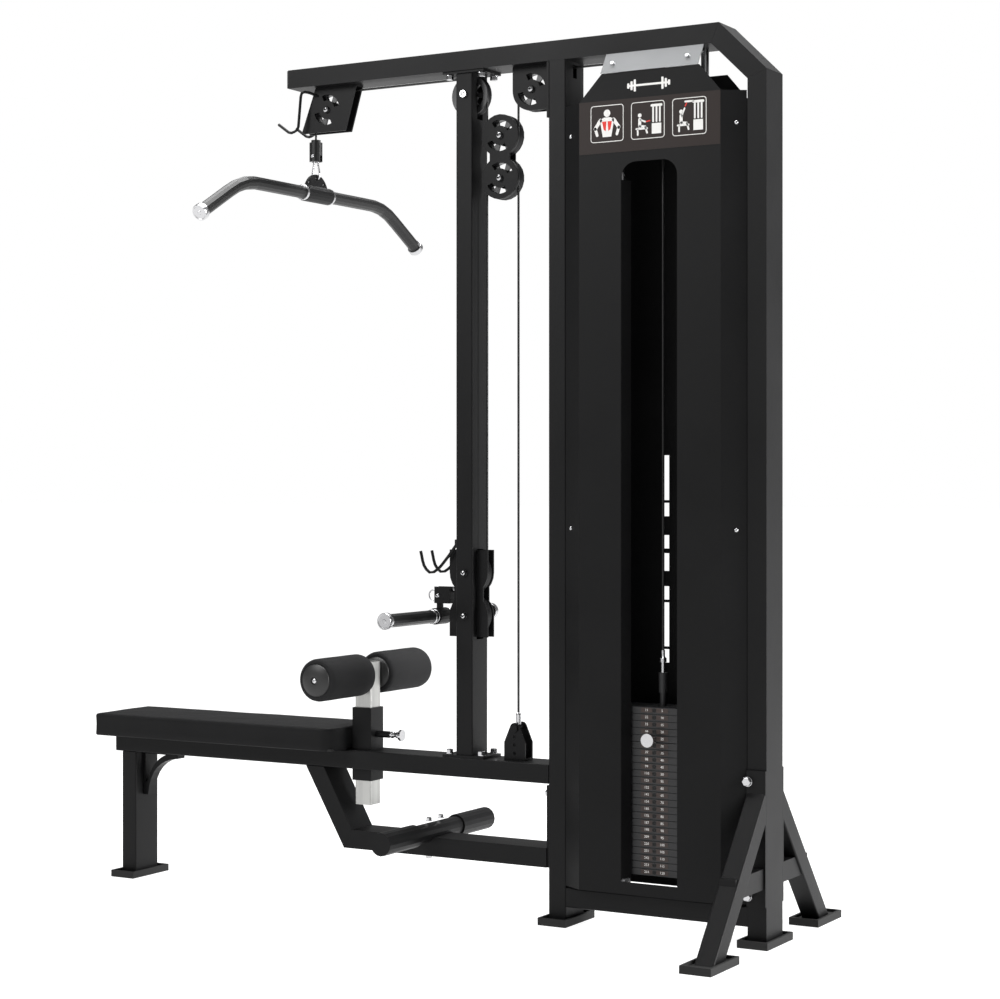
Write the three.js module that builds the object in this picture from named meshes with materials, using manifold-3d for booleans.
// Lat pulldown and low row machine with a covered weight stack.
// Millimetres, +Z up. The origin is on the floor under the middle of the machine's box.
// The user faces +X: the seat is at -X and the weight tower at +X. The machine is symmetric about Y = 0.
import * as THREE from "three";
import { mergeVertices } from "three/addons/utils/BufferGeometryUtils.js";
import Module from "manifold-3d";

const wasm = await Module();
wasm.setup();

// Clearance between pieces that touch
const GAP = 0.3;

// Main steel tube: 50 in the XZ plane, 100 along Y
const TUBE_W = 50;
const TUBE_D = 100;
const TUBE_CORNER = 4;
const WALL = 3;

// Frame layout
const LEFT_POST_X = 435;
const RIGHT_POST_X = 986;
const COLUMN_X = 153;
const COLUMN_D = 80;
const SEAT_LEG_X = -958;
const BEAM_BOTTOM = 2202;
const BEAM_TOP = 2252;
const BEAM_LEFT = -402;
const CHAMFER_X = 885;
const CHAMFER_Z = 2128;
const SEAT_BEAM_BOTTOM = 356;
const SEAT_BEAM_TOP = 406;
const SEAT_BEAM_LEFT = -1003;
const LOW_BEAM_BOTTOM = 142;
const LOW_BEAM_TOP = 192;
const BASE_BOTTOM = 46;
const FLANGE = 6;

// Feet
const FOOT_W = 80;
const FOOT_D = 160;
const FOOT_H = 19;
const FOOT_FLOOR = 12;

// Stabiliser legs beside the right post
const STABILISER_Y = 325;
const STABILISER_SLOPE = 0.835;
const STABILISER_TUBE = 50;

// Pulleys and cables
const PULLEY_R = 55;
const PULLEY_HALF = 11;
const CABLE_R = 3;
const WRAP_R = 47;
const AXLE_R = 8;
const PULLEY_Z = 2141;
const DROP_X = -344;
const CABLE_LEFT_X = 200;
const CABLE_RIGHT_X = 294;
const FRONT_PULLEY_X = DROP_X + WRAP_R;
const COLUMN_PULLEY_X = CABLE_LEFT_X - WRAP_R;
const BLOCK_X = (CABLE_LEFT_X + CABLE_RIGHT_X) / 2;
const TOWER_PULLEY_X = CABLE_RIGHT_X + WRAP_R;
const STACK_X = 710;
const STACK_PULLEY_X = STACK_X - WRAP_R;
const BLOCK_UPPER_Z = 2029;
const BLOCK_LOWER_Z = 1918;
const LOW_UPPER_Z = 889;
const LOW_LOWER_Z = 777;
const ROW_CABLE_Z = LOW_UPPER_Z - WRAP_R;

// Weight stack
const PLATE_COUNT = 24;
const PLATE_PITCH = 17.5;
const PLATE_GROOVE = 1.5;
const PLATE_LENGTH = 290;
const PLATE_DEPTH = 100;
const STACK_BOTTOM = 148;
const SELECTED = 5;
const GUIDE_OFFSET = 115;
const GUIDE_R = 10;
const STACK_TOP = STACK_BOTTOM + PLATE_COUNT * PLATE_PITCH;
const SPLIT_Z = STACK_TOP - SELECTED * PLATE_PITCH;

// Tower covers
const COVER_Y = 85;
const COVER_LEFT = 517;
const COVER_RIGHT = 906;
const COVER_SIDE_LEFT = 461;
const COVER_SIDE_RIGHT = 960;
const COVER_BOTTOM = 102;
const COVER_SHOULDER = 2079;
const COVER_TOP = 2147;
const COVER_SHEET = 2;
const WINDOW_LEFT = 635;
const WINDOW_RIGHT = 789;
const WINDOW_BOTTOM = 133;
const WINDOW_TOP = 1922;

// Lat bar
const LAT_Z = 1914;
const LAT_STRAIGHT = 334;
const LAT_END_Y = 506;
const LAT_END_Z = 1817;
const GRIP_R = 17.5;
const CAP_R = 21;

// Row handle
const ROW_X = 55;
const ROW_Z = 772;
const ROW_HALF = 272;

// Knee pad
const KNEE_X = -174;
const KNEE_POST = 50;
const KNEE_SLEEVE = 60;
const KNEE_AXLE_Z = 609;
const ROLLER_R = 56;
const ROLLER_INNER = 40;
const ROLLER_OUTER = 246;

// Seat
const SEAT_LEFT = -1026;
const SEAT_RIGHT = -210;
const SEAT_HALF = 118;
const SEAT_TOP = 469;
const SEAT_CORNER = 45;

// Footrest
const FOOTREST_X = 39;
const FOOTREST_Z = 201;
const FOOTREST_HALF = 265;

// Finishes
const finish = (color, roughness, metalness) =>
  new THREE.MeshStandardMaterial({ color, roughness, metalness });
const POWDER = finish(0x1b1b1c, 0.6, 0.2);
const RUBBER = finish(0x141414, 0.85, 0);
const CHROME = finish(0xd8d8da, 0.15, 1);
const ZINC = finish(0xb9bab6, 0.35, 1);
const GREY = finish(0x9a9b9d, 0.45, 0.8);
const NYLON = finish(0x1c1c1d, 0.4, 0);
const VINYL = finish(0x1a1a1b, 0.55, 0);
const FOAM = finish(0x202021, 0.9, 0);
const IRON = finish(0x222223, 0.5, 0.5);
const CABLE = finish(0x111112, 0.4, 0);

const machine = new THREE.Group();

// Turns a geometry into a solid that can be cut and joined
function solid(geometry) {
  const bare = geometry.index ? geometry.toNonIndexed() : geometry.clone();
  bare.deleteAttribute("normal");
  bare.deleteAttribute("uv");
  const merged = mergeVertices(bare, 1e-4);
  const vertProperties = new Float32Array(merged.attributes.position.array);
  const triVerts = new Uint32Array(merged.index.array);
  return new wasm.Manifold(new wasm.Mesh({ numProp: 3, vertProperties, triVerts }));
}

// Adds a finished solid to the machine as one named mesh
function place(name, body, material) {
  const mesh = body.getMesh();
  const geometry = new THREE.BufferGeometry();
  geometry.setAttribute("position", new THREE.BufferAttribute(mesh.vertProperties, 3));
  geometry.setIndex(new THREE.BufferAttribute(mesh.triVerts, 1));
  geometry.computeVertexNormals();
  const node = new THREE.Mesh(geometry, material);
  node.name = name;
  machine.add(node);
}

// Box between two corners
function block(x0, x1, y0, y1, z0, z1) {
  const geometry = new THREE.BoxGeometry(x1 - x0, y1 - y0, z1 - z0);
  geometry.translate((x0 + x1) / 2, (y0 + y1) / 2, (z0 + z1) / 2);
  return solid(geometry);
}

// Round bar along "x", "y" or "z" from one coordinate to another, through the point at
function bar(axis, at, radius, from, to, sides = 16) {
  const geometry = new THREE.CylinderGeometry(radius, radius, to - from, sides);
  const middle = (from + to) / 2;
  if (axis === "x") geometry.rotateZ(Math.PI / 2).translate(middle, at[1], at[2]);
  if (axis === "y") geometry.translate(at[0], middle, at[2]);
  if (axis === "z") geometry.rotateX(Math.PI / 2).translate(at[0], at[1], middle);
  return solid(geometry);
}

// Rectangle outline centred on the origin, with chamfer-round corners
function roundedRectangle(width, height, radius, target = new THREE.Shape()) {
  const w = width / 2;
  const h = height / 2;
  target.moveTo(-w + radius, -h);
  target.lineTo(w - radius, -h);
  target.absarc(w - radius, -h + radius, radius, -Math.PI / 2, 0);
  target.lineTo(w, h - radius);
  target.absarc(w - radius, h - radius, radius, 0, Math.PI / 2);
  target.lineTo(-w + radius, h);
  target.absarc(-w + radius, h - radius, radius, Math.PI / 2, Math.PI);
  target.lineTo(-w, -h + radius);
  target.absarc(-w + radius, -h + radius, radius, Math.PI, Math.PI * 1.5);
  return target;
}

// Hollow rectangular tube standing on z0, open at both ends
function uprightTube(x, y, width, depth, z0, z1, wall = WALL) {
  const outline = roundedRectangle(width, depth, TUBE_CORNER);
  if (wall > 0) {
    const inside = roundedRectangle(width - 2 * wall, depth - 2 * wall, 1.5, new THREE.Path());
    outline.holes.push(inside);
  }
  const geometry = new THREE.ExtrudeGeometry(outline, { depth: z1 - z0, bevelEnabled: false, curveSegments: 2 });
  geometry.translate(x, y, z0);
  return solid(geometry);
}

// The same tube lying along X between x0 and x1, its lower face at z0
function lyingTube(x0, x1, z0, height = TUBE_W, depth = TUBE_D) {
  return uprightTube(0, 0, height, depth, 0, x1 - x0)
    .rotate([0, 90, 0])
    .translate([x0, 0, z0 + height / 2]);
}

// Sheet or plate with an outline in the XZ plane, between two Y values
function platePiece(shape, y0, y1, curveSegments = 6) {
  const geometry = new THREE.ExtrudeGeometry(shape, { depth: y1 - y0, bevelEnabled: false, curveSegments });
  geometry.rotateX(Math.PI / 2).translate(0, y1, 0);
  return solid(geometry);
}

// Closed outline through a list of [x, z] corners
function polygon(corners) {
  const shape = new THREE.Shape();
  shape.setFromPoints(corners.map(([x, z]) => new THREE.Vector2(x, z)));
  return shape;
}

// Round section swept along a curve
function sweep(curve, radius, steps, sides = 8) {
  const section = new THREE.Shape();
  section.absarc(0, 0, radius, 0, Math.PI * 2);
  const settings = { extrudePath: curve, steps, bevelEnabled: false, curveSegments: sides / 2 };
  return solid(new THREE.ExtrudeGeometry(section, settings));
}

// Turned body about the Y axis, from [radius, y] corners that close on themselves
function turned(corners, x, z, segments = 20) {
  const profile = corners.map(([r, y]) => new THREE.Vector2(r, y));
  profile.push(profile[0].clone());
  const geometry = new THREE.LatheGeometry(profile, segments);
  return solid(geometry).translate([x, 0, z]);
}

// Curve made of straight runs with round corners, in any plane
function routedPath(points, radius) {
  const path = new THREE.CurvePath();
  let start = points[0];
  for (let i = 1; i < points.length - 1; i += 1) {
    const corner = points[i];
    const before = corner.clone().add(start.clone().sub(corner).setLength(radius));
    const after = corner.clone().add(points[i + 1].clone().sub(corner).setLength(radius));
    path.add(new THREE.LineCurve3(start, before));
    path.add(new THREE.QuadraticBezierCurve3(before, corner, after));
    start = after;
  }
  path.add(new THREE.LineCurve3(start, points[points.length - 1]));
  return path;
}

const at = (x, y, z) => new THREE.Vector3(x, y, z);

// Union of overlapping solids
const join = (pieces) => pieces.reduce((whole, piece) => whole.add(piece));

// Quarter or half turn of cable round a pulley centre, between two angles in the XZ plane
function wrap(x, z, from, to, steps) {
  const points = [];
  for (let i = 0; i <= steps; i += 1) {
    const angle = from + ((to - from) * i) / steps;
    points.push(at(x + WRAP_R * Math.cos(angle), 0, z + WRAP_R * Math.sin(angle)));
  }
  return sweep(new THREE.CatmullRomCurve3(points), CABLE_R, steps);
}

// ---------------------------------------------------------------- frame

const HALF_W = TUBE_W / 2;
const HALF_D = TUBE_D / 2;
const slot = (x0, x1, halfY, z0, z1) => block(x0, x1, -halfY, halfY, z0, z1);

// Left post, with a cable slot through both broad faces level with the pulleys
const leftPostBolts = bar("x", [0, 0, 165], 6.3, 395, 425).add(bar("x", [0, 0, 330], 6.3, 395, 425));
place(
  "left_post",
  uprightTube(LEFT_POST_X, 0, TUBE_W, TUBE_D, FOOT_FLOOR + GAP, BEAM_BOTTOM - GAP)
    .subtract(slot(LEFT_POST_X - 30, LEFT_POST_X + 30, 10, 2160, BEAM_BOTTOM - 8))
    .subtract(leftPostBolts),
  POWDER
);

// The right post, the slanted corner and the top beam meet in mitres
const chamferInnerX = CHAMFER_X - TUBE_W * Math.tan(Math.PI / 8);
const chamferInnerZ = CHAMFER_Z - TUBE_W * Math.tan(Math.PI / 8);
const POST_RIGHT = RIGHT_POST_X + HALF_W;
const POST_LEFT = RIGHT_POST_X - HALF_W;
const mitred = (corners, inner) =>
  platePiece(polygon(corners), -HALF_D, HALF_D).subtract(
    platePiece(polygon(inner), -HALF_D + WALL, HALF_D - WALL)
  );
place(
  "right_post",
  mitred(
    [
      [POST_LEFT, FOOT_FLOOR + GAP],
      [POST_RIGHT, FOOT_FLOOR + GAP],
      [POST_RIGHT, CHAMFER_Z - GAP],
      [POST_LEFT, chamferInnerZ - GAP],
    ],
    [
      [POST_LEFT + WALL, 0],
      [POST_RIGHT - WALL, 0],
      [POST_RIGHT - WALL, CHAMFER_Z + 60],
      [POST_LEFT + WALL, CHAMFER_Z + 60],
    ]
  )
    .subtract(bar("y", [RIGHT_POST_X, 0, 401], 6.3, -60, 60, 12))
    .subtract(bar("y", [RIGHT_POST_X, 0, 123], 6.3, -60, 60, 12)),
  POWDER
);
place(
  "corner_beam",
  mitred(
    [
      [CHAMFER_X, BEAM_TOP],
      [chamferInnerX, BEAM_BOTTOM],
      [POST_LEFT, chamferInnerZ],
      [POST_RIGHT, CHAMFER_Z],
    ],
    [
      [CHAMFER_X - 60, BEAM_TOP + 60 - WALL * 1.4],
      [chamferInnerX - 60, BEAM_BOTTOM + 60 + WALL * 1.4],
      [POST_LEFT + 60, chamferInnerZ - 60 + WALL * 1.4],
      [POST_RIGHT + 60, CHAMFER_Z - 60 - WALL * 1.4],
    ]
  ),
  POWDER
);
place(
  "top_beam",
  mitred(
    [
      [BEAM_LEFT, BEAM_BOTTOM],
      [chamferInnerX - GAP, BEAM_BOTTOM],
      [CHAMFER_X - GAP, BEAM_TOP],
      [BEAM_LEFT, BEAM_TOP],
    ],
    [
      [BEAM_LEFT - 10, BEAM_BOTTOM + WALL],
      [CHAMFER_X + 50, BEAM_BOTTOM + WALL],
      [CHAMFER_X + 50, BEAM_TOP - WALL],
      [BEAM_LEFT - 10, BEAM_TOP - WALL],
    ]
  ),
  POWDER
);

place("base_beam", lyingTube(LEFT_POST_X + HALF_W + GAP, POST_LEFT - GAP, BASE_BOTTOM), POWDER);

// Middle column: a tube with welded flanges, slotted where its pulleys stand
const FLANGE_X = 62;
const flangePlate = (z) =>
  block(COLUMN_X - FLANGE_X, COLUMN_X + FLANGE_X, -46, 46, z, z + FLANGE);
place(
  "middle_column",
  uprightTube(COLUMN_X, 0, TUBE_W, COLUMN_D, SEAT_BEAM_TOP + GAP, BEAM_BOTTOM - GAP)
    .add(flangePlate(SEAT_BEAM_TOP + GAP))
    .add(flangePlate(BEAM_BOTTOM - GAP - FLANGE))
    .subtract(slot(COLUMN_X - 40, COLUMN_X + 40, 14, PULLEY_Z - 64, BEAM_BOTTOM))
    .subtract(slot(COLUMN_X - 40, COLUMN_X + 40, 18, LOW_LOWER_Z - 62, LOW_UPPER_Z + 62))
    .subtract(bar("y", [COLUMN_X, 0, PULLEY_Z], AXLE_R + GAP, -50, 50, 16))
    .subtract(bar("y", [COLUMN_X, 0, LOW_UPPER_Z], AXLE_R + GAP, -50, 50, 16))
    .subtract(bar("y", [COLUMN_X, 0, LOW_LOWER_Z], AXLE_R + GAP, -50, 50, 16)),
  POWDER
);

// Seat beam, cut through for the knee post sleeve
const KNEE_HALF = KNEE_SLEEVE / 2;
place(
  "seat_beam",
  lyingTube(SEAT_BEAM_LEFT, LEFT_POST_X - HALF_W - GAP, SEAT_BEAM_BOTTOM).subtract(
    block(KNEE_X - KNEE_HALF - GAP, KNEE_X + KNEE_HALF + GAP, -KNEE_HALF - GAP, KNEE_HALF + GAP, 300, 450)
  ),
  POWDER
);
place(
  "seat_leg",
  uprightTube(SEAT_LEG_X, 0, TUBE_W, TUBE_D, FOOT_FLOOR + GAP, SEAT_BEAM_BOTTOM - GAP),
  POWDER
);

// Curved strap between the seat leg and the beam
const STRAP_X = SEAT_LEG_X + HALF_W + GAP;
const STRAP_REACH = 124;
const STRAP_T = 7;
const strap = new THREE.Shape();
strap.moveTo(STRAP_X, SEAT_BEAM_BOTTOM - GAP);
strap.lineTo(STRAP_X, SEAT_BEAM_BOTTOM - STRAP_REACH);
strap.lineTo(STRAP_X + 16, SEAT_BEAM_BOTTOM - STRAP_REACH);
strap.quadraticCurveTo(STRAP_X + 26, SEAT_BEAM_BOTTOM - 22, STRAP_X + STRAP_REACH, SEAT_BEAM_BOTTOM - 16);
strap.lineTo(STRAP_X + STRAP_REACH, SEAT_BEAM_BOTTOM - GAP);
const strapOpening = new THREE.Path();
strapOpening.moveTo(STRAP_X + STRAP_T, SEAT_BEAM_BOTTOM - STRAP_T);
strapOpening.lineTo(STRAP_X + 80, SEAT_BEAM_BOTTOM - STRAP_T);
strapOpening.quadraticCurveTo(STRAP_X + 32, SEAT_BEAM_BOTTOM - 26, STRAP_X + STRAP_T + 8, SEAT_BEAM_BOTTOM - 84);
strapOpening.lineTo(STRAP_X + STRAP_T, SEAT_BEAM_BOTTOM - 90);
strap.holes.push(strapOpening);
place("seat_leg_strap", platePiece(strap, -15, 15, 8), POWDER);

// Diagonal brace and low beam under the seat beam
const BRACE_FOOT_X = -218;
const BRACE_FOOT_INNER_X = -193;
const FLANGE_LEFT = LEFT_POST_X - HALF_W - GAP - FLANGE;
place(
  "diagonal_brace",
  mitred(
    [
      [-342, SEAT_BEAM_BOTTOM - GAP],
      [BRACE_FOOT_X, LOW_BEAM_BOTTOM],
      [BRACE_FOOT_INNER_X, LOW_BEAM_TOP],
      [-284, SEAT_BEAM_BOTTOM - GAP],
    ],
    [
      [-362, SEAT_BEAM_BOTTOM + 40],
      [BRACE_FOOT_X - 15, LOW_BEAM_BOTTOM + 32],
      [BRACE_FOOT_INNER_X - 6, LOW_BEAM_TOP + 4],
      [-310, SEAT_BEAM_BOTTOM + 40],
    ]
  ),
  POWDER
);
place(
  "low_beam",
  mitred(
    [
      [BRACE_FOOT_X + GAP, LOW_BEAM_BOTTOM],
      [FLANGE_LEFT, LOW_BEAM_BOTTOM],
      [FLANGE_LEFT, LOW_BEAM_TOP],
      [BRACE_FOOT_INNER_X + GAP, LOW_BEAM_TOP],
    ],
    [
      [BRACE_FOOT_X + 10, LOW_BEAM_BOTTOM + WALL],
      [FLANGE_LEFT + 10, LOW_BEAM_BOTTOM + WALL],
      [FLANGE_LEFT + 10, LOW_BEAM_TOP - WALL],
      [BRACE_FOOT_INNER_X + 4, LOW_BEAM_TOP - WALL],
    ]
  ).add(block(FLANGE_LEFT - 1, FLANGE_LEFT + FLANGE, -46, 46, LOW_BEAM_BOTTOM, SEAT_BEAM_BOTTOM - 4)),
  POWDER
);

// Rubber feet: a shallow tray each
function foot(name, x, y) {
  const body = block(x - FOOT_W / 2, x + FOOT_W / 2, y - FOOT_D / 2, y + FOOT_D / 2, 0, FOOT_H);
  const pocket = block(x - 33, x + 33, y - 73, y + 73, FOOT_FLOOR, FOOT_H + 1);
  place(name, body.subtract(pocket), RUBBER);
}
foot("foot_left_post", LEFT_POST_X, 0);
foot("foot_right_post", RIGHT_POST_X, 0);
foot("foot_seat_leg", SEAT_LEG_X, 0);
foot("foot_near_stabiliser", RIGHT_POST_X, -STABILISER_Y);
foot("foot_far_stabiliser", RIGHT_POST_X, STABILISER_Y);

// Stabiliser: slanted leg, bolt plate on the post and a short tie between them
function stabiliser(name, side) {
  const plateY = HALF_D + GAP;
  const tilt = (Math.atan(STABILISER_SLOPE) * 180) / Math.PI;
  const leg = uprightTube(0, 0, STABILISER_TUBE, STABILISER_TUBE, -40, 520, 0)
    .rotate([-tilt, 0, 0])
    .translate([RIGHT_POST_X, -STABILISER_Y, FOOT_FLOOR])
    .intersect(block(0, 2000, -500, -plateY - 1, FOOT_FLOOR + GAP, 1000));
  const plate = block(RIGHT_POST_X - 25, RIGHT_POST_X + 25, -plateY - FLANGE, -plateY, 98, 428);
  const tie = block(RIGHT_POST_X - 20, RIGHT_POST_X + 20, -222, -plateY - 1, LOW_BEAM_BOTTOM, LOW_BEAM_TOP);
  const welded = leg.add(plate).add(tie);
  place(name, side < 0 ? welded : welded.mirror([0, 1, 0]), POWDER);
}
stabiliser("near_stabiliser", -1);
stabiliser("far_stabiliser", 1);

// ---------------------------------------------------------------- pulleys and their brackets

const CHEEK_IN = 12.5;
const CHEEK_OUT = 17;
const HEAD_R = 9.5;

// Pulley with a V groove, on a plain bore
function pulley(name, x, z) {
  const bore = AXLE_R + GAP;
  const floor = WRAP_R - CABLE_R - GAP;
  const profile = [
    [bore, -PULLEY_HALF],
    [PULLEY_R, -PULLEY_HALF],
    [PULLEY_R, -PULLEY_HALF + 2],
    [floor, -3.4],
    [floor, 3.4],
    [PULLEY_R, PULLEY_HALF - 2],
    [PULLEY_R, PULLEY_HALF],
    [bore, PULLEY_HALF],
  ];
  place(name, turned(profile, x, z), NYLON);
}

// Bolt that carries a pulley, with a head outside each cheek
function axle(x, z, headFrom) {
  const heads = [-1, 1].map((side) => {
    const ends = [side * headFrom, side * (headFrom + 7)].sort((a, b) => a - b);
    return bar("y", [x, 0, z], HEAD_R, ends[0], ends[1], 12);
  });
  return join([bar("y", [x, 0, z], AXLE_R, -headFrom - 6, headFrom + 6, 16), ...heads]);
}

// Curved slots through both cheeks, either side of a bolt, centred on one angle and its opposite
const SLOT_INNER = 25;
const SLOT_OUTER = 41;
const SLOT_SWEEP = (50 * Math.PI) / 180;
function cheekSlots(x, z, degrees) {
  const middle = (degrees * Math.PI) / 180;
  return join(
    [middle, middle + Math.PI].map((angle) => {
      const outline = new THREE.Shape();
      outline.absarc(x, z, SLOT_OUTER, angle - SLOT_SWEEP, angle + SLOT_SWEEP);
      outline.absarc(x, z, SLOT_INNER, angle + SLOT_SWEEP, angle - SLOT_SWEEP, true);
      return platePiece(outline, -CHEEK_OUT - 1, CHEEK_OUT + 1, 5);
    })
  );
}

// The same outline cut from two cheek plates
const cheeks = (shape) => [platePiece(shape, -CHEEK_OUT, -CHEEK_IN), platePiece(shape, CHEEK_IN, CHEEK_OUT)];
const web = (x0, x1) => block(x0, x1, -CHEEK_OUT, CHEEK_OUT, 2197.6, BEAM_BOTTOM - GAP);

// Front bracket under the end of the beam, with two hooks for spare bars
const HOOK_R = 4;
function frontHook(side) {
  const y = side * 42;
  const route = [
    at(-325, side * 15, 2180),
    at(-345, y, 2190),
    at(-364, y, 2190),
    at(-374, y, 2088),
    at(-400, y, 2080),
    at(-439, y, 2108),
  ];
  return sweep(routedPath(route, 9), HOOK_R, 22, 6);
}
const frontCheek = polygon([
  [-334, BEAM_BOTTOM - GAP],
  [-378, 2086],
  [-371, 2080],
  [-236, 2080],
  [-200, BEAM_BOTTOM - GAP],
]);
place(
  "front_bracket",
  join([
    ...cheeks(frontCheek),
    web(-334, -200),
    axle(FRONT_PULLEY_X, PULLEY_Z, CHEEK_OUT - 0.5),
    frontHook(-1),
    frontHook(1),
  ]).subtract(cheekSlots(FRONT_PULLEY_X, PULLEY_Z, 62)),
  POWDER
);
pulley("front_pulley", FRONT_PULLEY_X, PULLEY_Z);

// Pulley in the slot at the top of the column
pulley("column_pulley", COLUMN_PULLEY_X, PULLEY_Z);
place("column_axle", axle(COLUMN_X, PULLEY_Z, COLUMN_D / 2 + GAP), CHROME);

// Bracket on the left post, with one rounded corner
const towerCheek = new THREE.Shape();
towerCheek.moveTo(286, BEAM_BOTTOM - GAP);
towerCheek.lineTo(286, PULLEY_Z);
towerCheek.absarc(341, PULLEY_Z, 55, Math.PI, Math.PI * 1.5);
towerCheek.lineTo(404, PULLEY_Z - 55);
towerCheek.lineTo(404, BEAM_BOTTOM - GAP);
const towerFlange = block(403.7, LEFT_POST_X - HALF_W - GAP, -48, 48, 2058, BEAM_BOTTOM - GAP);
place(
  "tower_bracket",
  join([
    ...cheeks(towerCheek),
    web(286, 404),
    axle(TOWER_PULLEY_X, PULLEY_Z, CHEEK_OUT - 0.5),
    towerFlange.subtract(slot(400, 415, 9, 2165, 2195)),
  ]).subtract(cheekSlots(TOWER_PULLEY_X, PULLEY_Z, 62)),
  POWDER
);
pulley("tower_pulley", TOWER_PULLEY_X, PULLEY_Z);

// Bracket inside the tower, hung under the beam
const stackCheek = polygon([
  [STACK_PULLEY_X - 34, BEAM_BOTTOM - GAP],
  [STACK_PULLEY_X - 18, PULLEY_Z - 24],
  [STACK_PULLEY_X + 18, PULLEY_Z - 24],
  [STACK_PULLEY_X + 34, BEAM_BOTTOM - GAP],
]);
place(
  "stack_pulley_bracket",
  join([
    ...cheeks(stackCheek),
    web(STACK_PULLEY_X - 34, STACK_PULLEY_X + 34),
    axle(STACK_PULLEY_X, PULLEY_Z, CHEEK_OUT - 0.5),
  ]),
  POWDER
);
pulley("stack_pulley", STACK_PULLEY_X, PULLEY_Z);

// Floating block: figure-of-eight cheeks with a pulley in each round end
const blockCheek = new THREE.Shape();
const WAIST = Math.asin(30 / PULLEY_R);
blockCheek.absarc(BLOCK_X, BLOCK_UPPER_Z, PULLEY_R, -Math.PI / 2 + WAIST, Math.PI * 1.5 - WAIST);
blockCheek.absarc(BLOCK_X, BLOCK_LOWER_Z, PULLEY_R, Math.PI / 2 + WAIST, Math.PI * 2.5 - WAIST);
place(
  "block_frame",
  join([
    platePiece(blockCheek, -CHEEK_OUT, -CHEEK_IN, 9),
    platePiece(blockCheek, CHEEK_IN, CHEEK_OUT, 9),
    axle(BLOCK_X, BLOCK_UPPER_Z, CHEEK_OUT - 0.5),
    axle(BLOCK_X, BLOCK_LOWER_Z, CHEEK_OUT - 0.5),
  ])
    .subtract(cheekSlots(BLOCK_X, BLOCK_UPPER_Z, 75))
    .subtract(cheekSlots(BLOCK_X, BLOCK_LOWER_Z, 75)),
  POWDER
);
pulley("block_upper_pulley", BLOCK_X, BLOCK_UPPER_Z);
pulley("block_lower_pulley", BLOCK_X, BLOCK_LOWER_Z);

// Low bracket: two cheeks that pass through the column slot, bolted through the column
const LOW_HALF = 58;
function lowCheek(y0, y1) {
  const square = (z0, z1) => block(COLUMN_X - LOW_HALF, COLUMN_X + LOW_HALF, y0, y1, z0, z1);
  return join([
    bar("y", [COLUMN_X, 0, LOW_UPPER_Z], LOW_HALF, y0, y1, 24),
    bar("y", [COLUMN_X, 0, LOW_LOWER_Z], LOW_HALF, y0, y1, 24),
    square(LOW_UPPER_Z, LOW_UPPER_Z + 60),
    square(LOW_LOWER_Z - 56, LOW_LOWER_Z),
    block(COLUMN_X - 44, COLUMN_X + 44, y0, y1, LOW_LOWER_Z, LOW_UPPER_Z),
  ]);
}
place(
  "low_bracket",
  join([
    lowCheek(-CHEEK_OUT, -CHEEK_IN),
    lowCheek(CHEEK_IN, CHEEK_OUT),
    axle(COLUMN_X, LOW_UPPER_Z, COLUMN_D / 2 + GAP),
    axle(COLUMN_X, LOW_LOWER_Z, COLUMN_D / 2 + GAP),
  ]),
  POWDER
);
pulley("low_upper_pulley", COLUMN_PULLEY_X, LOW_UPPER_Z);
pulley("low_lower_pulley", COLUMN_PULLEY_X, LOW_LOWER_Z);

// Pair of hooks for the row handle, on a plate on the column
function rowHook(side) {
  const y = side * 28;
  const route = [at(124, y, 964), at(95, y, 928), at(64, y, 896), at(43, y, 887), at(24, y, 903), at(12, y, 944)];
  return sweep(new THREE.CatmullRomCurve3(route), HOOK_R, 14, 6);
}
const hookPlate = block(122, COLUMN_X - HALF_W - GAP, -36, 36, 954, 976);
place("row_hooks", join([hookPlate, rowHook(-1), rowHook(1)]), POWDER);

// ---------------------------------------------------------------- cables

const RUN_Z = PULLEY_Z + WRAP_R;
const cableX = (x0, x1, z) => bar("x", [0, 0, z], CABLE_R, x0, x1, 8);
const cableZ = (x, z0, z1) => bar("z", [x, 0, 0], CABLE_R, z0, z1, 8);
const HALF_TURN = Math.PI;
const QUARTER_TURN = Math.PI / 2;

place(
  "cable_over_beam",
  join([
    wrap(FRONT_PULLEY_X, PULLEY_Z, HALF_TURN, QUARTER_TURN, 7),
    cableX(FRONT_PULLEY_X - 0.5, COLUMN_PULLEY_X + 0.5, RUN_Z),
    wrap(COLUMN_PULLEY_X, PULLEY_Z, QUARTER_TURN, 0, 7),
  ]),
  CABLE
);
place(
  "cable_into_tower",
  join([
    wrap(TOWER_PULLEY_X, PULLEY_Z, HALF_TURN, QUARTER_TURN, 7),
    cableX(TOWER_PULLEY_X - 0.5, STACK_PULLEY_X + 0.5, RUN_Z),
    wrap(STACK_PULLEY_X, PULLEY_Z, QUARTER_TURN, 0, 7),
  ]),
  CABLE
);
place("lat_cable", cableZ(DROP_X, 2063 + GAP, PULLEY_Z - GAP), CABLE);
place("stack_cable", cableZ(STACK_X, 650 + GAP, PULLEY_Z - GAP), CABLE);
place(
  "block_cable",
  join([
    cableZ(CABLE_LEFT_X, BLOCK_UPPER_Z - 0.5, PULLEY_Z - GAP),
    wrap(BLOCK_X, BLOCK_UPPER_Z, HALF_TURN, HALF_TURN * 2, 14),
    cableZ(CABLE_RIGHT_X, BLOCK_UPPER_Z - 0.5, PULLEY_Z - GAP),
  ]),
  CABLE
);
place(
  "low_cable",
  join([
    cableZ(CABLE_LEFT_X, LOW_UPPER_Z + GAP, BLOCK_LOWER_Z + 0.5),
    wrap(BLOCK_X, BLOCK_LOWER_Z, HALF_TURN, 0, 14),
    cableZ(CABLE_RIGHT_X, 497, BLOCK_LOWER_Z + 0.5),
  ]),
  CABLE
);
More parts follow.
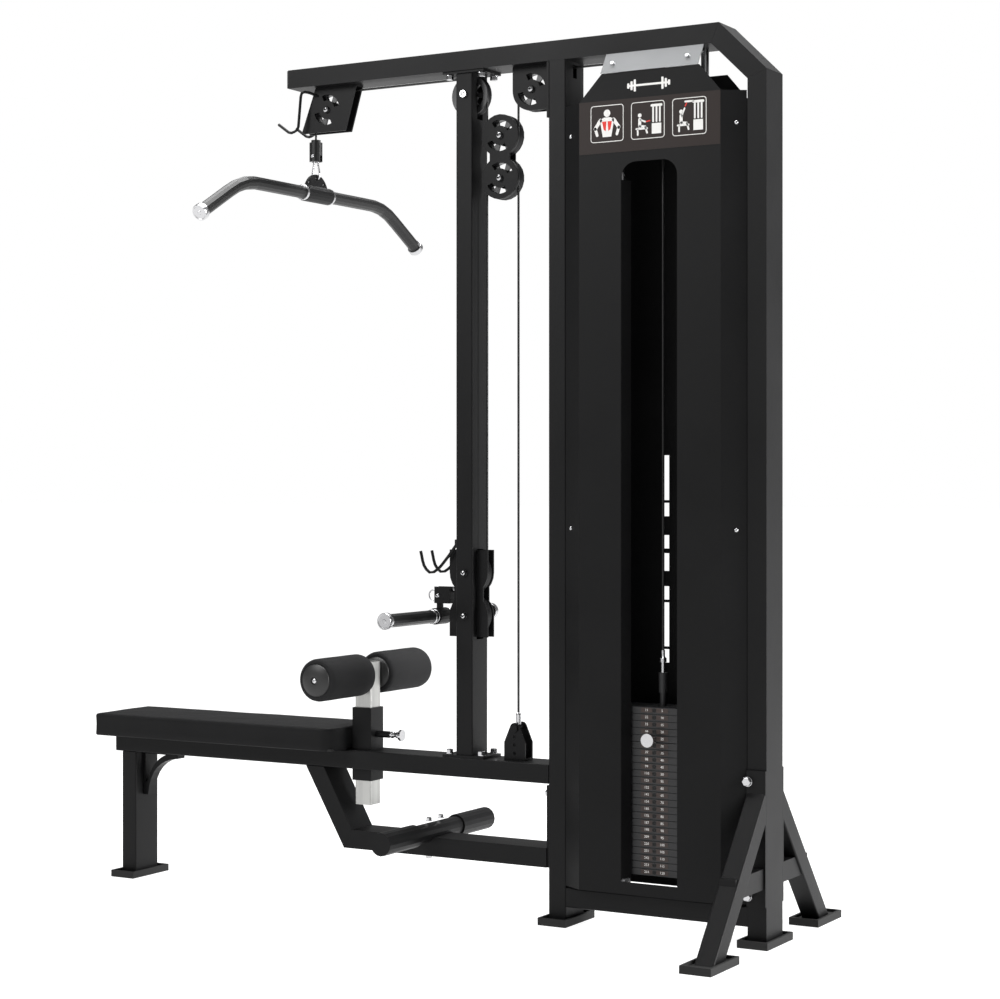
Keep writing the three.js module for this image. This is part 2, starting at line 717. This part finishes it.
place(
  "row_cable",
  join([
    wrap(COLUMN_PULLEY_X, LOW_UPPER_Z, 0, -QUARTER_TURN, 7),
    cableX(92 + GAP, COLUMN_PULLEY_X + 0.5, ROW_CABLE_Z),
  ]),
  CABLE
);

// ---------------------------------------------------------------- lat bar

const latRoute = [
  at(DROP_X, -LAT_END_Y, LAT_END_Z),
  at(DROP_X, -LAT_STRAIGHT, LAT_Z),
  at(DROP_X, LAT_STRAIGHT, LAT_Z),
  at(DROP_X, LAT_END_Y, LAT_END_Z),
];
const droop = (Math.atan((LAT_Z - LAT_END_Z) / (LAT_END_Y - LAT_STRAIGHT)) * 180) / Math.PI;
const latCap = (side) =>
  bar("y", [0, 0, 0], CAP_R, -1, 13)
    .rotate([side > 0 ? -droop : 180 + droop, 0, 0])
    .translate([DROP_X, side * LAT_END_Y, LAT_END_Z]);
const latRing = (side) => bar("y", [DROP_X, 0, LAT_Z], CAP_R, side > 0 ? 58 : -66, side > 0 ? 66 : -58);
place(
  "lat_bar",
  join([sweep(routedPath(latRoute, 60), GRIP_R, 26, 12), latCap(-1), latCap(1), latRing(-1), latRing(1)]),
  RUBBER
);

// Hanger: a collar that the bar turns in, with a half-disc plate above it
const latCollar = bar("y", [DROP_X, 0, LAT_Z], 23, -57, 57).subtract(
  bar("y", [DROP_X, 0, LAT_Z], GRIP_R + 3 * GAP, -60, 60)
);
const hangerHole = (y, z) => bar("x", [0, y, z], 5, DROP_X - 10, DROP_X + 10, 12);
const hangerDisc = bar("x", [0, 0, LAT_Z], 55, DROP_X - 3, DROP_X + 3, 32)
  .intersect(block(DROP_X - 5, DROP_X + 5, -60, 60, LAT_Z + 20, LAT_Z + 70))
  .subtract(join([hangerHole(-35, LAT_Z + 31), hangerHole(0, LAT_Z + 44), hangerHole(35, LAT_Z + 31)]));
place("lat_hanger", latCollar.add(hangerDisc), POWDER);

// Rubber stop on the cable end
const stopBody = bar("z", [DROP_X, 0, 0], 18, 2004, 2056).add(bar("z", [DROP_X, 0, 0], 13, 2055, 2063));
place("lat_cable_stop", stopBody.subtract(slot(DROP_X - 20, DROP_X + 20, 5, 2000, 2020)), RUBBER);

// ---------------------------------------------------------------- low row handle

const rowPart = (radius, from, to) =>
  join([bar("y", [ROW_X, 0, ROW_Z], radius, from, to), bar("y", [ROW_X, 0, ROW_Z], radius, -to, -from)]);
place(
  "row_handle",
  join([
    bar("y", [ROW_X, 0, ROW_Z], 14, -ROW_HALF + 1, ROW_HALF - 1),
    rowPart(18, 28, 32),
    rowPart(GRIP_R, 40, ROW_HALF - 14),
    rowPart(CAP_R, ROW_HALF - 15, ROW_HALF),
  ]),
  RUBBER
);

// Collar, neck and shackle between the handle and its cable
const rowCollar = bar("y", [ROW_X, 0, ROW_Z], 22, -27, 27).subtract(bar("y", [ROW_X, 0, ROW_Z], 14 + GAP, -30, 30));
const rowNeck = block(ROW_X - 8, ROW_X + 8, -4, 4, ROW_Z + 19, ROW_Z + 62);
const shackle = block(ROW_X - 10, 92, -13, 13, 806, 850).subtract(block(ROW_X - 20, 87, -9, 9, 800, 855));
const shackleBolt = bar("y", [ROW_X + 1, 0, 826], 5, -16, 16, 12);
place("row_hanger", join([rowCollar, rowNeck, shackle, shackleBolt]), POWDER);

// ---------------------------------------------------------------- cable anchor on the seat beam

const ANCHOR_Z = SEAT_BEAM_TOP + GAP;
const anchorCheek = new THREE.Shape();
anchorCheek.moveTo(CABLE_RIGHT_X - 31, ANCHOR_Z);
anchorCheek.lineTo(CABLE_RIGHT_X + 31, ANCHOR_Z);
anchorCheek.lineTo(CABLE_RIGHT_X + 31, 452);
anchorCheek.lineTo(CABLE_RIGHT_X + 13, 494);
anchorCheek.absarc(CABLE_RIGHT_X, 489, 14, 0.36, Math.PI - 0.36);
anchorCheek.lineTo(CABLE_RIGHT_X - 31, 452);
const anchorHoles = [467, 446, 424].map((z) => bar("y", [CABLE_RIGHT_X, 0, z], 4.5, -30, 30, 12));
const anchorPlates = join([
  platePiece(anchorCheek, -21, -16),
  platePiece(anchorCheek, 16, 21),
  block(CABLE_RIGHT_X - 31, CABLE_RIGHT_X + 31, -21, 21, ANCHOR_Z, ANCHOR_Z + 5),
]).subtract(join(anchorHoles));
place(
  "cable_anchor",
  join([
    anchorPlates,
    bar("y", [CABLE_RIGHT_X, 0, 489], 6, -24, 24, 16),
    bar("y", [CABLE_RIGHT_X, 0, 489], 10, -26, -20.5, 16),
    bar("y", [CABLE_RIGHT_X, 0, 489], 10, 20.5, 26, 16),
  ]),
  POWDER
);

// ---------------------------------------------------------------- seat, knee pad and footrest

const seatOutline = new THREE.Shape();
seatOutline.moveTo(SEAT_LEFT, -SEAT_HALF);
seatOutline.lineTo(SEAT_RIGHT - SEAT_CORNER, -SEAT_HALF);
seatOutline.absarc(SEAT_RIGHT - SEAT_CORNER, -SEAT_HALF + SEAT_CORNER, SEAT_CORNER, -Math.PI / 2, 0);
seatOutline.lineTo(SEAT_RIGHT, SEAT_HALF - SEAT_CORNER);
seatOutline.absarc(SEAT_RIGHT - SEAT_CORNER, SEAT_HALF - SEAT_CORNER, SEAT_CORNER, 0, Math.PI / 2);
seatOutline.lineTo(SEAT_LEFT, SEAT_HALF);
const seatGeometry = new THREE.ExtrudeGeometry(seatOutline, {
  depth: SEAT_TOP - SEAT_BEAM_TOP - GAP,
  bevelEnabled: false,
  curveSegments: 5,
});
seatGeometry.translate(0, 0, SEAT_BEAM_TOP + GAP);
place("seat_pad", solid(seatGeometry), VINYL);

// Sleeve welded through the seat beam, with the barrel of the locking pin
const KNEE_PIN_Z = 448;
const kneeBore = KNEE_POST / 2 + GAP;
const kneeHole = block(KNEE_X - kneeBore, KNEE_X + kneeBore, -kneeBore, kneeBore, 300, 540);
place(
  "knee_sleeve",
  block(KNEE_X - KNEE_HALF, KNEE_X + KNEE_HALF, -KNEE_HALF, KNEE_HALF, 323.5, 519.5)
    .add(bar("x", [0, 0, KNEE_PIN_Z], 9, KNEE_X + KNEE_HALF - 1, -104, 16))
    .subtract(kneeHole)
    .subtract(bar("x", [0, 0, KNEE_PIN_Z], 5 + GAP, -160, -90, 16)),
  POWDER
);
place(
  "knee_post",
  join([
    uprightTube(KNEE_X, 0, KNEE_POST, KNEE_POST, 258, 641),
    block(KNEE_X - 24, KNEE_X + 24, -24, 24, 640, 645),
    bar("y", [KNEE_X, 0, KNEE_AXLE_Z], 10, -ROLLER_OUTER, ROLLER_OUTER, 16),
  ]),
  ZINC
);
function roller(name, side) {
  const profile = [
    [0, ROLLER_OUTER + GAP],
    [0, ROLLER_OUTER + 10],
    [22, ROLLER_OUTER + 8],
    [40, ROLLER_OUTER],
    [50, ROLLER_OUTER],
    [ROLLER_R, ROLLER_OUTER - 8],
    [ROLLER_R, ROLLER_INNER + 8],
    [50, ROLLER_INNER],
    [40, ROLLER_INNER],
    [22, ROLLER_INNER - 8],
    [10 + GAP, ROLLER_INNER - 9],
    [10 + GAP, ROLLER_OUTER + GAP],
  ];
  const body = turned(profile.reverse(), KNEE_X, KNEE_AXLE_Z, 22);
  place(name, side > 0 ? body : body.mirror([0, 1, 0]), FOAM);
}
roller("near_roller", -1);
roller("far_roller", 1);
place(
  "knee_pin",
  bar("x", [0, 0, KNEE_PIN_Z], 5, KNEE_X + kneeBore + 0.2, -66, 16).add(
    bar("x", [0, 0, KNEE_PIN_Z], 15, -70, -63, 20)
  ),
  CHROME
);

// Footrest tube, coped to sit down over the low beam
const footSleeve = (from, to) => bar("y", [FOOTREST_X, 0, FOOTREST_Z], 30, from, to);
place(
  "footrest",
  join([
    bar("y", [FOOTREST_X, 0, FOOTREST_Z], 25, -FOOTREST_HALF + 1, FOOTREST_HALF - 1),
    footSleeve(-FOOTREST_HALF, -106),
    footSleeve(106, FOOTREST_HALF),
  ]).subtract(slot(FOOTREST_X - 60, FOOTREST_X + 60, HALF_D + GAP, 100, LOW_BEAM_TOP + GAP)),
  POWDER
);

// ---------------------------------------------------------------- weight tower

// Folded sheet cover with a round-topped window; the bent sides reach the posts
function coverSheet() {
  const inner = COVER_Y - COVER_SHEET;
  const outline = new THREE.Shape();
  const corners = [
    [COVER_SIDE_LEFT, -51],
    [COVER_LEFT, -COVER_Y],
    [COVER_RIGHT, -COVER_Y],
    [COVER_SIDE_RIGHT, -51],
    [COVER_SIDE_RIGHT - 2.6, -51],
    [COVER_RIGHT - 0.7, -inner],
    [COVER_LEFT + 0.7, -inner],
    [COVER_SIDE_LEFT + 2.6, -51],
  ];
  outline.setFromPoints(corners.map(([x, y]) => new THREE.Vector2(x, y)));
  const walls = new THREE.ExtrudeGeometry(outline, { depth: COVER_SHOULDER - COVER_BOTTOM, bevelEnabled: false });
  walls.translate(0, 0, COVER_BOTTOM);
  const crown = polygon([
    [COVER_LEFT, COVER_SHOULDER - 1],
    [COVER_RIGHT, COVER_SHOULDER - 1],
    [COVER_RIGHT, COVER_SHOULDER],
    [COVER_RIGHT - 58, COVER_TOP],
    [COVER_LEFT + 64, COVER_TOP],
    [COVER_LEFT, COVER_SHOULDER],
  ]);
  return solid(walls).add(platePiece(crown, -COVER_Y, -inner));
}
const WINDOW_CORNER = 40;
const windowOutline = new THREE.Shape();
windowOutline.moveTo(WINDOW_LEFT, WINDOW_BOTTOM);
windowOutline.lineTo(WINDOW_RIGHT, WINDOW_BOTTOM);
windowOutline.lineTo(WINDOW_RIGHT, WINDOW_TOP - WINDOW_CORNER);
windowOutline.absarc(WINDOW_RIGHT - WINDOW_CORNER, WINDOW_TOP - WINDOW_CORNER, WINDOW_CORNER, 0, Math.PI / 2);
windowOutline.lineTo(WINDOW_LEFT + WINDOW_CORNER, WINDOW_TOP);
windowOutline.absarc(
  WINDOW_LEFT + WINDOW_CORNER, WINDOW_TOP - WINDOW_CORNER, WINDOW_CORNER, Math.PI / 2, Math.PI
);
// Angled lips beside the window stiffen the sheet
function windowLip(x, lean) {
  const outline = new THREE.Shape();
  const corners = [
    [x, -COVER_Y + 1],
    [x + 2, -COVER_Y + 1],
    [x + 2 + lean, -56],
    [x + lean, -56],
  ];
  outline.setFromPoints(corners.map(([px, py]) => new THREE.Vector2(px, py)));
  const lip = new THREE.ExtrudeGeometry(outline, { depth: 1740, bevelEnabled: false });
  lip.translate(0, 0, WINDOW_BOTTOM + 6);
  return solid(lip);
}
place(
  "front_cover",
  join([
    coverSheet().subtract(platePiece(windowOutline, -COVER_Y - 5, -COVER_Y + 5)),
    windowLip(WINDOW_LEFT - 1.5, 13),
    windowLip(WINDOW_RIGHT - 0.5, -13),
  ]),
  POWDER
);

// Rear cover: no window, only a row of upright slits of mixed lengths
const SLIT_TOP = 1195;
const SLIT_GAPS = [0, 7, 48, 12, 39, 7, 7];
const SLIT_LENGTHS = [114, 34, 34, 45, 34, 112, 34];
const slits = [];
let slitTop = SLIT_TOP;
for (let i = 0; i < SLIT_LENGTHS.length; i += 1) {
  slitTop -= SLIT_GAPS[i];
  slits.push(block(673, 687, -90, -80, slitTop - SLIT_LENGTHS[i], slitTop));
  slitTop -= SLIT_LENGTHS[i];
}
place("rear_cover", coverSheet().subtract(join(slits)).mirror([0, 1, 0]), POWDER);

// Leaning plate between the front cover and the beam
const lean = new THREE.Shape();
const leanCorners = [[-COVER_Y, COVER_TOP + GAP], [-51, 2201.5], [-53, 2201.5], [-COVER_Y - 2, COVER_TOP + GAP]];
lean.setFromPoints(leanCorners.map(([y, z]) => new THREE.Vector2(y, z)));
const leanPlate = solid(new THREE.ExtrudeGeometry(lean, { depth: 268, bevelEnabled: false }))
  .rotate([90, 0, 90])
  .translate([578, 0, 0]);
place("tower_top_plate", leanPlate, GREY);

// Guide rods on a base bar, with a bumper round each; the cable passes through the head of one
const rodX = [STACK_X - GUIDE_OFFSET, STACK_X + GUIDE_OFFSET];
const BASE_TOP = BASE_BOTTOM + TUBE_W;
place(
  "guide_rods",
  join([
    block(STACK_X - 150, STACK_X + 150, -40, 40, BASE_TOP + GAP, BASE_TOP + 8),
    ...rodX.map((x) => bar("z", [x, 0, 0], GUIDE_R, BASE_TOP + 2, BEAM_BOTTOM - GAP, 16)),
    ...rodX.map((x) => bar("z", [x, 0, 0], 22, BASE_TOP + 2, STACK_BOTTOM - GAP, 16)),
  ]).subtract(bar("x", [0, 0, RUN_Z], CABLE_R + 2, 550, 650)),
  CHROME
);

// A pile of plates with a shallow groove between each two
function platePile(first, count) {
  const pieces = [];
  for (let i = 0; i < count; i += 1) {
    const z = first + i * PLATE_PITCH;
    const halfX = PLATE_LENGTH / 2;
    const halfY = PLATE_DEPTH / 2;
    pieces.push(block(STACK_X - halfX, STACK_X + halfX, -halfY, halfY, z, z + PLATE_PITCH - PLATE_GROOVE));
  }
  const top = first + count * PLATE_PITCH - PLATE_GROOVE;
  pieces.push(block(STACK_X - 142, STACK_X + 142, -47, 47, first + 1, top - 1));
  const holes = rodX.map((x) => bar("z", [x, 0, 0], GUIDE_R + GAP, first - 5, top + 5, 16));
  return join(pieces).subtract(join(holes));
}
place(
  "resting_plates",
  platePile(STACK_BOTTOM, PLATE_COUNT - SELECTED).subtract(
    bar("z", [STACK_X, 0, 0], 10, STACK_BOTTOM - 5, STACK_TOP, 16)
  ),
  IRON
);

// The plates above the pin, with the selector rod that hangs through the others
const PIN_Z = STACK_TOP - (SELECTED - 0.5) * PLATE_PITCH - PLATE_GROOVE / 2;
place(
  "lifted_plates",
  platePile(SPLIT_Z, SELECTED)
    .add(bar("z", [STACK_X, 0, 0], 8, 165, 640, 16))
    .add(bar("z", [STACK_X, 0, 0], 11, 600, 650, 16))
    .subtract(bar("y", [STACK_X, 0, PIN_Z], 4 + GAP, -60, -8, 12)),
  IRON
);
place(
  "selector_pin",
  bar("y", [STACK_X, 0, PIN_Z], 4, -80, -9, 12).add(bar("y", [STACK_X, 0, PIN_Z], 17, -92, -78, 20)),
  CHROME
);

export default machine;
